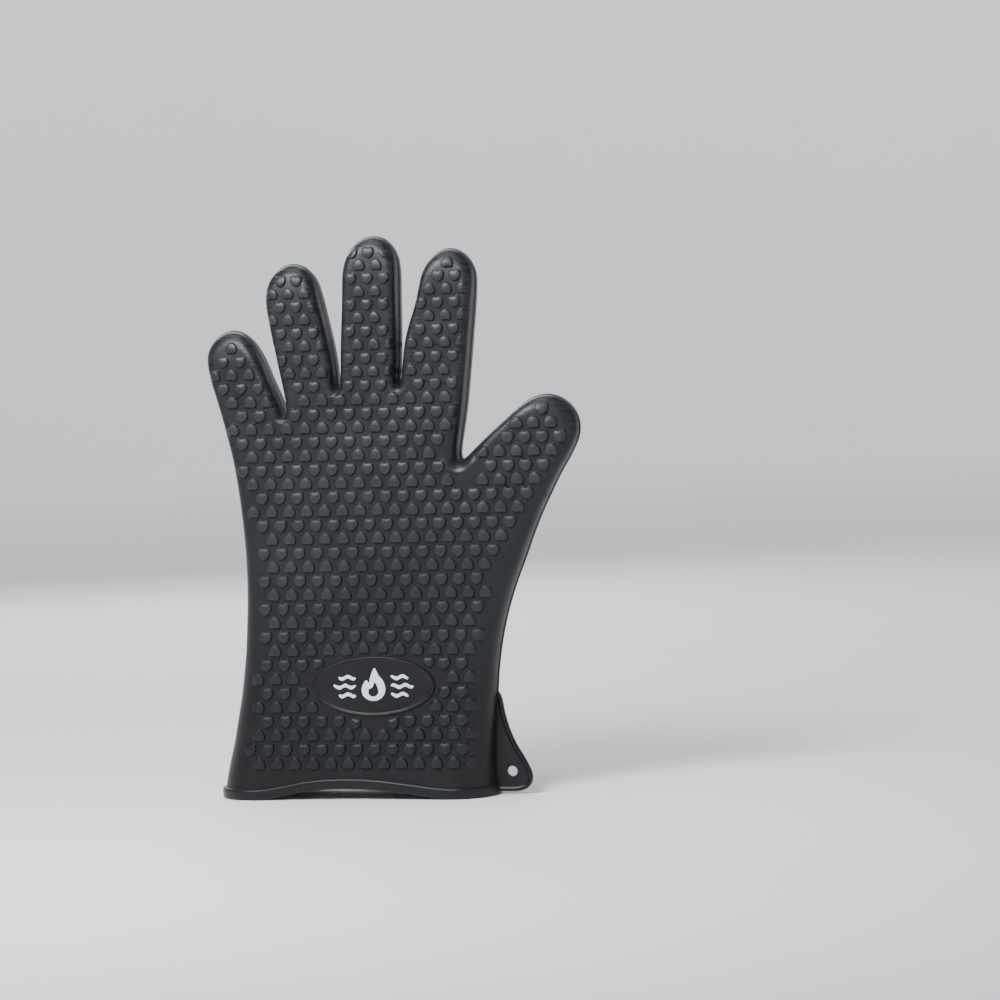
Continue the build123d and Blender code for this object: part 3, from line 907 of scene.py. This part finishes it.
SKIN_MAT = silicone("charcoal_silicone", (0.0108, 0.0120, 0.0148), (0.0200, 0.0222, 0.0272), 0.40)
TRIM_MAT = silicone("charcoal_silicone_trim", (0.0080, 0.0088, 0.0106), (0.0140, 0.0154, 0.0186), 0.38, painted_light_and_streaks=False)
BADGE_MAT = silicone("smooth_silicone_badge", (0.0068, 0.0072, 0.0088), (0.0105, 0.0112, 0.0135), 0.36, painted_light_and_streaks=False)
FLASH_MAT = silicone("silicone_flash", (0.055, 0.058, 0.064), (0.085, 0.089, 0.098), 0.42, painted_light_and_streaks=False)
INK = print_ink()

# --------------------------------------------------------------- skin pieces
skin = build_skin()


for key, ob in skin.items():
    ob.data.materials.append(SKIN_MAT)
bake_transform(skin["hand"])
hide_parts("cuff_shell", "wrist_flex", "palm_shell")
for name, g in DIGITS.items():
    low, end = skin[name + "_lower"], skin[name + "_end"]
    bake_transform(low)
    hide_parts(name + "_knuckle_flex", name + "_lower")
    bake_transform(end)
    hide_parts(name + "_mid_flex", name + "_tip")


# ------------------------------------------------- flash webs in two crotches
def crotch_web(name, left, right):
    """Flat leaf of mould flash that closes the bottom of the gap between two fingers."""
    zs = np.linspace(0, 1, 9)
    lo = [(left[0][0] + (left[1][0] - left[0][0]) * t, left[0][1] + (left[1][1] - left[0][1]) * t) for t in zs]
    hi = [(right[0][0] + (right[1][0] - right[0][0]) * t, right[0][1] + (right[1][1] - right[0][1]) * t) for t in zs]
    top = [(lo[-1][0] + (hi[-1][0] - lo[-1][0]) * t, lo[-1][1] + (hi[-1][1] - lo[-1][1]) * t - 1.3 * math.sin(math.pi * t)) for t in np.linspace(0, 1, 11)[1:-1]]
    loop = lo + top + hi[::-1]
    m = len(loop)
    mid = np.array(loop).mean(0)
    co, faces = [], []
    for y, k in ((-0.32, 0.93), (-0.42, 0.88), (0.42, 0.88), (0.32, 0.93)):
        co += [(mid[0] + (p[0] - mid[0]) * k, y, mid[1] + (p[1] - mid[1]) * k) for p in loop]
    co += [(mid[0], -0.42, mid[1] - 0.6), (mid[0], 0.42, mid[1] - 0.6)]
    for i in range(m):
        j = (i + 1) % m
        faces += [[i, j, m + j, m + i], [2 * m + i, 2 * m + j, 3 * m + j, 3 * m + i], [3 * m + i, 3 * m + j, j, i],
                  [m + i, m + j, 4 * m], [2 * m + j, 2 * m + i, 4 * m + 1]]
    return co, faces


# ------------------------------------------------------------------ rim bead
def mouth_curve():
    """Closed curve of the outer skin just above the hem."""
    lx = OUT[np.argmin(np.abs(OUT[: len(OUT) // 2, 1] - 2.6))][0]
    rx = OUT[len(OUT) // 2 + np.argmin(np.abs(OUT[len(OUT) // 2 :, 1] - 2.6))][0]
    u = np.linspace(0, math.pi, 500)
    x = 0.5 * (lx + rx) - 0.5 * (rx - lx) * np.cos(u)
    z = hem(x) + 2.6
    d, _ = edge_distance(x, z)
    h = np.maximum(base_height(x, z, np.maximum(d, 0.0)), 0.0)
    h[0] = h[-1] = 0
    ring = np.vstack([np.stack([x, -h, z], 1), np.stack([x, h, z], 1)[-2:0:-1]])
    return ring


def closed_resample(p, n):
    q = np.vstack([p, p[:1]])
    s = np.concatenate([[0], np.cumsum(np.linalg.norm(np.diff(q, axis=0), axis=1))])
    t = np.linspace(0, s[-1], n, endpoint=False)
    return np.stack([np.interp(t, s, q[:, k]) for k in range(3)], 1)


def rim_bead():
    c = closed_resample(mouth_curve(), 460)
    for _ in range(10):
        c = 0.25 * np.roll(c, 1, 0) + 0.5 * c + 0.25 * np.roll(c, -1, 0)
    t = tangents(c, closed=True)
    nout = np.stack([t[:, 1], -t[:, 0], np.zeros(len(t))], 1)
    nout /= np.linalg.norm(nout, axis=1)[:, None]
    if (nout[0] @ (c[0] - c.mean(0))) < 0:
        nout = -nout
    half_h, out, back, r = 2.6, 1.35, 2.15, 1.15
    sec = []
    for cx, cv, a0 in ((out - r, half_h - r, 0), (-back + 0.7, half_h - 0.7, 90), (-back + 0.7, -half_h + 0.7, 180), (out - r, -half_h + r, 270)):
        rad = r if cx > 0 else 0.7
        for k in range(7):
            a = math.radians(a0 + 15 * k)
            sec.append((cx + rad * math.cos(a), cv + rad * math.sin(a)))
    m = len(sec)
    co = []
    for p, n in zip(c, nout):
        for a, b in sec:
            co.append(p + n * a + np.array([0, 0, b]))
    faces = []
    for i in range(len(c)):
        j = (i + 1) % len(c)
        for k in range(m):
            q = (k + 1) % m
            faces.append([i * m + k, i * m + q, j * m + q, j * m + k])
    return np.array(co), faces


def outward(ob):
    import bmesh

    bm = bmesh.new()
    bm.from_mesh(ob.data)
    bmesh.ops.recalc_face_normals(bm, faces=bm.faces)
    bm.to_mesh(ob.data)
    bm.free()


co, faces = rim_bead()
rim = mesh_object("rim_bead_ring", co, faces)
outward(rim)
rim.data.materials.append(TRIM_MAT)
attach(rim, "cuff")
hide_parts("rim_bead")

for nm, lf, rt in (("web_ring_middle", [(-26.4, 195.2), (-27.6, 201.4)], [(-24.2, 195.2), (-23.0, 201.4)]),
                   ("web_middle_index", [(4.0, 196.5), (3.3, 202.6)], [(6.4, 196.5), (7.4, 202.6)])):
    co, faces = crotch_web(nm, lf, rt)
    web = mesh_object(nm, co, faces)
    outward(web)
    for q in web.data.polygons:
        q.use_smooth = False
    web.data.materials.append(FLASH_MAT)
    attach(web, "hand")

# ------------------------------------------------------------------ hang tab
TAB = [(46.4, 51.5), (48.9, 47.6), (50.9, 38.0), (52.6, 32.0), (54.9, 26.1), (57.0, 22.0), (59.1, 18.5), (61.2, 14.6), (62.7, 11.2), (63.3, 8.2),
       (62.6, 5.2), (60.6, 2.9), (57.6, 1.6), (54.0, 1.2), (49.5, 1.2), (44.0, 1.4)]
HOLE, HOLE_R = (53.3, 11.1), 2.5


def hang_tab():
    edge = spline(TAB, 0.3)
    edge = resample(edge, np.full(len(edge), 0.7))
    t = tangents(edge)
    n = np.stack([t[:, 1], -t[:, 0]], 1)
    verts, edges = [], []

    def loop(points, closed):
        b = len(verts)
        verts.extend([(float(p[0]), float(p[1])) for p in points])
        for i in range(len(points) - 1):
            edges.append((b + i, b + i + 1))
        if closed:
            edges.append((b + len(points) - 1, b))

    back = [(42.0, z) for z in np.linspace(1.4, 51.5, 30)]
    loop(list(edge) + back, True)
    for off in (0.12, 0.4, 0.8, 1.3, 1.8, 2.2, 2.5, 2.8):
        p = edge + n * off
        ok = p[:, 0] > 42.3
        loop(p[ok], False)
    a = np.linspace(0, 2 * math.pi, 40, endpoint=False)
    for r in (HOLE_R, HOLE_R + 0.12, HOLE_R + 0.35, HOLE_R + 0.8):
        loop([(HOLE[0] + r * math.cos(u), HOLE[1] + r * math.sin(u)) for u in a], True)
    gx, gz = np.meshgrid(np.arange(43, 62, 1.4), np.arange(2, 50, 1.4))
    for x, z in zip(gx.ravel(), gz.ravel()):
        e = np.sqrt(((edge - (x, z)) ** 2).sum(1)).min()
        inside = ((edge[np.argmin(((edge - (x, z)) ** 2).sum(1))] - (x, z)) * n[np.argmin(((edge - (x, z)) ** 2).sum(1))]).sum() < 0
        if e > 3.1 and inside and math.hypot(x - HOLE[0], z - HOLE[1]) > HOLE_R + 1.3:
            verts.append((float(x), float(z)))
    v, e, f, _, _, _ = delaunay_2d_cdt([Vector(p) for p in verts], edges, [], 1, 1e-5)
    v = np.array([(p.x, p.y) for p in v])
    f = np.array(f)
    mid = v[f].mean(1)
    f = f[np.hypot(mid[:, 0] - HOLE[0], mid[:, 1] - HOLE[1]) > HOLE_R - 0.02]
    a_, b_, c_ = v[f[:, 0]], v[f[:, 1]], v[f[:, 2]]
    area = (b_[:, 0] - a_[:, 0]) * (c_[:, 1] - a_[:, 1]) - (b_[:, 1] - a_[:, 1]) * (c_[:, 0] - a_[:, 0])
    f[area < 0] = f[area < 0][:, ::-1]
    e = np.sqrt(((v[:, None] - edge[None]) ** 2).sum(2)).min(1)
    bead = 1.9 * np.sqrt(np.clip(1 - ((e - 1.25) / 1.25) ** 2, 0, 1))
    web = 1.15 * smoothstep(e, 0.0, 0.4)
    h = np.maximum(bead, web)
    near = np.hypot(v[:, 0] - HOLE[0], v[:, 1] - HOLE[1]) - HOLE_R
    h = np.where(near < 0.06, 1.05, h)
    h = np.where((near > 0.06) & (near < 0.25), np.maximum(h, 1.2), h)
    h = np.where((near > 0.25) & (near < 0.6), np.maximum(h, 1.24), h)
    k = len(v)
    rimv = (e < 0.02) | (v[:, 0] < 42.001)
    h[rimv] = 0.0
    remap = np.arange(2 * k)
    idx = np.where(rimv)[0]
    remap[idx + k] = idx
    co = np.vstack([np.stack([v[:, 0], -h, v[:, 1]], 1), np.stack([v[:, 0], h, v[:, 1]], 1)])
    faces = [list(t) for t in f] + [[int(q) for q in t] for t in remap[f[:, ::-1] + k]]
    on = np.where(near < 0.03)[0]
    on = on[np.argsort(np.arctan2(v[on, 1] - HOLE[1], v[on, 0] - HOLE[0]))]
    for i, a in enumerate(on):
        b = on[(i + 1) % len(on)]
        faces.append([int(a), int(b), int(b + k), int(a + k)])
    used = np.unique(np.concatenate([np.ravel(t) for t in faces]))
    renum = np.full(len(co), -1)
    renum[used] = np.arange(len(used))
    return co[used], [[int(renum[q]) for q in t] for t in faces]


co, faces = hang_tab()
tab = mesh_object("hang_tab", co, faces)
outward(tab)
tab.data.materials.append(TRIM_MAT)
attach(tab, "cuff")
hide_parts("hang_tab_web", "hang_tab_bead")


# --------------------------------------------------------------------- badge
def plain_front(x, z):
    x, z = np.asarray(x, float), np.asarray(z, float)
    d, _ = edge_distance(x, z)
    return base_height(x, z, d)


BADGE_PROFILE = [(1.020, -0.5), (1.000, 0.05), (0.990, 0.62), (0.978, 0.98), (0.962, 1.12), (0.945, 1.05), (0.930, 0.78), (0.918, 0.48),
                 (0.900, 0.36), (0.86, 0.36), (0.75, 0.46), (0.6, 0.62), (0.45, 0.76), (0.3, 0.86), (0.15, 0.91), (0.0, 0.93)]


def badge_height(x, z):
    e = np.hypot((x - BADGE_C[0]) / BADGE_A, (z - BADGE_C[1]) / BADGE_B)
    rs = [p[0] for p in BADGE_PROFILE][::-1]
    hs = [p[1] for p in BADGE_PROFILE][::-1]
    return plain_front(x, z) + np.interp(e, rs, hs)


def badge():
    n = 144
    a = np.linspace(0, 2 * math.pi, n, endpoint=False)
    co, faces = [], []
    for k, (r, _) in enumerate(BADGE_PROFILE[:-1]):
        x = BADGE_C[0] + BADGE_A * r * np.cos(a)
        z = BADGE_C[1] + BADGE_B * r * np.sin(a)
        co.append(np.stack([x, -badge_height(x, z), z], 1))
        if k:
            for i in range(n):
                j = (i + 1) % n
                faces.append([(k - 1) * n + i, (k - 1) * n + j, k * n + j, k * n + i])
    k = len(BADGE_PROFILE) - 2
    cx, cz = np.array([BADGE_C[0]]), np.array([BADGE_C[1]])
    co.append(np.stack([cx, -badge_height(cx, cz), cz], 1))
    for i in range(n):
        faces.append([k * n + i, k * n + (i + 1) % n, (k + 1) * n])
    # the side bonded to the cuff
    co.append(np.stack([cx, -(plain_front(cx, cz) - 0.6), cz], 1))
    for i in range(n):
        faces.append([(i + 1) % n, i, (k + 1) * n + 1])
    return np.vstack(co), faces


co, faces = badge()
bd = mesh_object("badge_oval", co, faces)
bd.data.materials.append(BADGE_MAT)
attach(bd, "cuff")
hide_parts("badge_plate", "badge_ridge")


def printed(shapes, name, node):
    """Thin raised print that follows the badge."""
    co, faces = [], []
    for outer_, holes in shapes:
        verts, edges = [], []
        loops = []
        for p in [outer_] + holes:
            b = len(verts)
            verts.extend([(float(q[0]), float(q[1])) for q in p])
            edges.extend([(b + i, b + (i + 1) % len(p)) for i in range(len(p))])
            loops.append((b, len(p)))
        o = np.array(outer_)
        gx, gz = np.meshgrid(np.arange(o[:, 0].min() + 0.4, o[:, 0].max(), 0.9), np.arange(o[:, 1].min() + 0.4, o[:, 1].max(), 0.9))
        verts.extend([(float(x), float(z)) for x, z in zip(gx.ravel(), gz.ravel())])
        v, e, f, _, _, _ = delaunay_2d_cdt([Vector(p) for p in verts], edges, [], 1, 1e-5)
        v = np.array([(p.x, p.y) for p in v])
        f = np.array([t for t in f if len(t) == 3])

        def inside(points, poly):
            poly = np.array(poly)
            x, y = points[:, 0][:, None], points[:, 1][:, None]
            x1, y1 = poly[:, 0][None], poly[:, 1][None]
            x2, y2 = np.roll(poly[:, 0], -1)[None], np.roll(poly[:, 1], -1)[None]
            hit = ((y1 > y) != (y2 > y)) & (x < (x2 - x1) * (y - y1) / np.where(y2 == y1, 1e-9, y2 - y1) + x1)
            return hit.sum(1) % 2 == 1

        mid = v[f].mean(1)
        ok = inside(mid, outer_)
        for hle in holes:
            ok &= ~inside(mid, hle)
        f = f[ok]
        a_, b_, c_ = v[f[:, 0]], v[f[:, 1]], v[f[:, 2]]
        area = (b_[:, 0] - a_[:, 0]) * (c_[:, 1] - a_[:, 1]) - (b_[:, 1] - a_[:, 1]) * (c_[:, 0] - a_[:, 0])
        f[area < 0] = f[area < 0][:, ::-1]
        used = np.unique(f)
        ren = np.full(len(v), -1)
        ren[used] = np.arange(len(used))
        v, f = v[used], ren[f]
        x, z = v[:, 0] + BADGE_C[0], v[:, 1] + BADGE_C[1]
        h = badge_height(x, z)
        base = len(co)
        k = len(v)
        top = np.stack([x, -(h + 0.13), z], 1)
        low = np.stack([x, -(h - 0.10), z], 1)
        co.extend(top.tolist() + low.tolist())
        faces.extend([[int(q) + base for q in t] for t in f])
        faces.extend([[int(q) + base + k for q in t[::-1]] for t in f])
        e = np.vstack([f[:, [0, 1]], f[:, [1, 2]], f[:, [2, 0]]])
        key = {}
        for p, q in e:
            key[(min(p, q), max(p, q))] = key.get((min(p, q), max(p, q)), 0) + 1
        for p, q in e:
            if key[(min(p, q), max(p, q))] == 1:
                faces.append([int(q) + base, int(p) + base, int(p) + base + k, int(q) + base + k])
    ob = mesh_object(name, np.array(co), faces)
    for p in ob.data.polygons:
        p.use_smooth = False
    ob.data.materials.append(INK)
    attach(ob, "cuff")
    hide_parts(node)
    return ob


def closed_spline(points, step=0.35):
    p = [*points, points[0], points[1], points[2]]
    s = spline(p, step)
    full = np.vstack(s)
    a = int(np.argmin(((full - np.array(points[1])) ** 2).sum(1)))
    # cut one full turn starting at the second point
    d = ((full[a + 5 :] - full[a]) ** 2).sum(1)
    b = a + 5 + int(np.argmin(d))
    return full[a:b]


FLAME = [(0.6, 8.7), (2.4, 5.6), (4.9, 2.4), (5.9, -1.4), (4.9, -4.6), (2.2, -6.6), (-1.4, -6.8), (-4.6, -5.0), (-5.8, -1.8), (-4.9, 1.2),
         (-3.4, 3.0), (-2.2, 1.6), (-1.4, 4.6)]
FLAME_IN = [(0.7, 1.8), (2.1, -0.6), (2.5, -2.9), (1.2, -4.7), (-0.8, -4.9), (-2.4, -3.5), (-2.2, -1.4), (-0.6, -0.6)]
flame = printed([(closed_spline(FLAME), [closed_spline(FLAME_IN)])], "print_flame_mark", "print_flame")


def wave(cx, cz, length, thick, phase):
    x = np.linspace(-length / 2, length / 2, 36)
    y = 0.55 * np.sin(x * 1.05 + phase)
    w = thick / 2 * np.sqrt(np.clip(1 - (np.abs(x) / (length / 2)) ** 6, 0.02, 1))
    up = np.stack([x + cx, y + w + cz], 1)
    dn = np.stack([x + cx, y - w + cz], 1)[::-1]
    return np.vstack([up, dn])


waves = []
for sx in (-1, 1):
    for k, (z, w) in enumerate([(4.2, 8.6), (0.0, 11.2), (-4.2, 8.6)]):
        waves.append((wave(sx * (8.7 + w / 2), z, w, 1.7, 0.0 if sx > 0 else 1.2), []))
bars = printed(waves, "print_heat_waves", "print_bars")

# --------------------------------------------------------------------- stage
fm, fnt, fb = new_material("studio_floor")
tcf = fnt.nodes.new("ShaderNodeTexCoord")
nzf = fnt.nodes.new("ShaderNodeTexNoise")
nzf.inputs["Scale"].default_value = 3.0
fnt.links.new(tcf.outputs["Object"], nzf.inputs["Vector"])
rpf = fnt.nodes.new("ShaderNodeValToRGB")
rpf.color_ramp.elements[0].color = (0.86, 0.86, 0.86, 1)
rpf.color_ramp.elements[1].color = (0.90, 0.90, 0.90, 1)
fnt.links.new(nzf.outputs["Fac"], rpf.inputs["Fac"])
fnt.links.new(rpf.outputs["Color"], fb.inputs["Base Color"])
fb.inputs["Roughness"].default_value = 0.85
# the floor turns up into a pale wall all round, which glows a little so that no side falls dark
pos = fnt.nodes.new("ShaderNodeVectorMath")
pos.operation = "LENGTH"
fnt.links.new(tcf.outputs["Object"], pos.inputs[0])
far = fnt.nodes.new("ShaderNodeMapRange")
far.interpolation_type = "SMOOTHSTEP"
far.inputs["From Min"].default_value = 0.9
far.inputs["From Max"].default_value = 3.6
far.inputs["To Min"].default_value = 0.0
far.inputs["To Max"].default_value = 0.50
fnt.links.new(pos.outputs["Value"], far.inputs["Value"])
fb.inputs["Emission Color"].default_value = (0.97, 0.98, 1.0, 1)
fnt.links.new(far.outputs["Result"], fb.inputs["Emission Strength"])
prof = [(r, 0.0) for r in (0.4, 0.8, 1.2, 1.7, 2.3, 3.0, 3.6)] + [(3.6 + 1.3 * math.sin(a), 1.3 - 1.3 * math.cos(a)) for a in np.linspace(0.12, math.pi / 2, 16)]
fv, ff, seg = [(0.0, 0.0, 0.0)], [], 96
for r, z in prof:
    fv += [(r * 1000 * math.cos(u), r * 1000 * math.sin(u), z * 1000) for u in np.linspace(0, 2 * math.pi, seg, endpoint=False)]
for i in range(seg):
    j = (i + 1) % seg
    ff.append([0, 1 + i, 1 + j])
    for k in range(len(prof) - 1):
        ff.append([1 + k * seg + i, 1 + (k + 1) * seg + i, 1 + (k + 1) * seg + j, 1 + k * seg + j])
floor = mesh_object("studio_floor", np.array(fv), ff)
floor.data.materials.append(fm)

world = bpy.data.worlds.new("studio")
bpy.context.scene.world = world
world.use_nodes = True
wn = world.node_tree
soft = wn.nodes["Background"]
soft.inputs["Color"].default_value = (0.90, 0.95, 1.0, 1)
soft.inputs["Strength"].default_value = 0.22
seen = wn.nodes.new("ShaderNodeBackground")
seen.inputs["Color"].default_value = (0.80, 0.81, 0.82, 1)
seen.inputs["Strength"].default_value = 0.80
path = wn.nodes.new("ShaderNodeLightPath")
both_bg = wn.nodes.new("ShaderNodeMixShader")
wn.links.new(path.outputs["Is Camera Ray"], both_bg.inputs["Fac"])
wn.links.new(soft.outputs["Background"], both_bg.inputs[1])
wn.links.new(seen.outputs["Background"], both_bg.inputs[2])
wn.links.new(both_bg.outputs["Shader"], wn.nodes["World Output"].inputs["Surface"])


def area(name, loc, target, size, power, colour=(1, 1, 1)):
    l = bpy.data.lights.new(name, "AREA")
    l.shape = "RECTANGLE"
    l.size, l.size_y = size
    l.energy = power
    l.color = colour
    o = bpy.data.objects.new(name, l)
    bpy.context.scene.collection.objects.link(o)
    o.location = loc
    o.rotation_euler = (Vector(target) - Vector(loc)).to_track_quat("-Z", "Y").to_euler()
    return o


area("key", (-0.60, -1.05, 1.20), (0, 0, 0.24), (0.40, 0.34), 10.5, (0.96, 0.98, 1.0))
area("upper", (-0.14, -0.46, 0.56), (0.0, 0, 0.25), (0.22, 0.18), 5.4, (0.93, 0.965, 1.0))
area("fill", (1.2, -0.9, 0.60), (0, 0, 0.16), (0.8, 0.8), 2.2, (0.88, 0.94, 1.0))
area("top", (-0.15, -0.10, 1.25), (0, 0, 0.2), (0.7, 0.5), 6, (0.93, 0.97, 1.0))
area("back_fill", (-0.5, 1.1, 0.8), (0, 0, 0.14), (0.9, 0.9), 9, (1.0, 1.0, 1.0))
area("sweep", (0.0, 0.75, 1.6), (0.0, 3.2, 0.2), (2.6, 0.8), 22, (1.0, 1.0, 1.0))

# -------------------------------------------------------------------- camera
cam = bpy.data.cameras.new("camera")
cam.lens, cam.sensor_width = 135.0, 36.0
cam.dof.use_dof = False
cam.clip_start, cam.clip_end = 0.05, 50.0
co_ = bpy.data.objects.new("camera", cam)
bpy.context.scene.collection.objects.link(co_)
R = Vector((0.974187, 0.223034, -0.034852))
U = Vector((0.022239, 0.058814, 0.998021))
B = R.cross(U).normalized()
U = B.cross(R).normalized()
mat = Matrix((R, U, B)).transposed().to_4x4()
mat.translation = Vector((0.455656, -1.750107, 0.235871))
co_.matrix_world = mat
bpy.context.scene.camera = co_
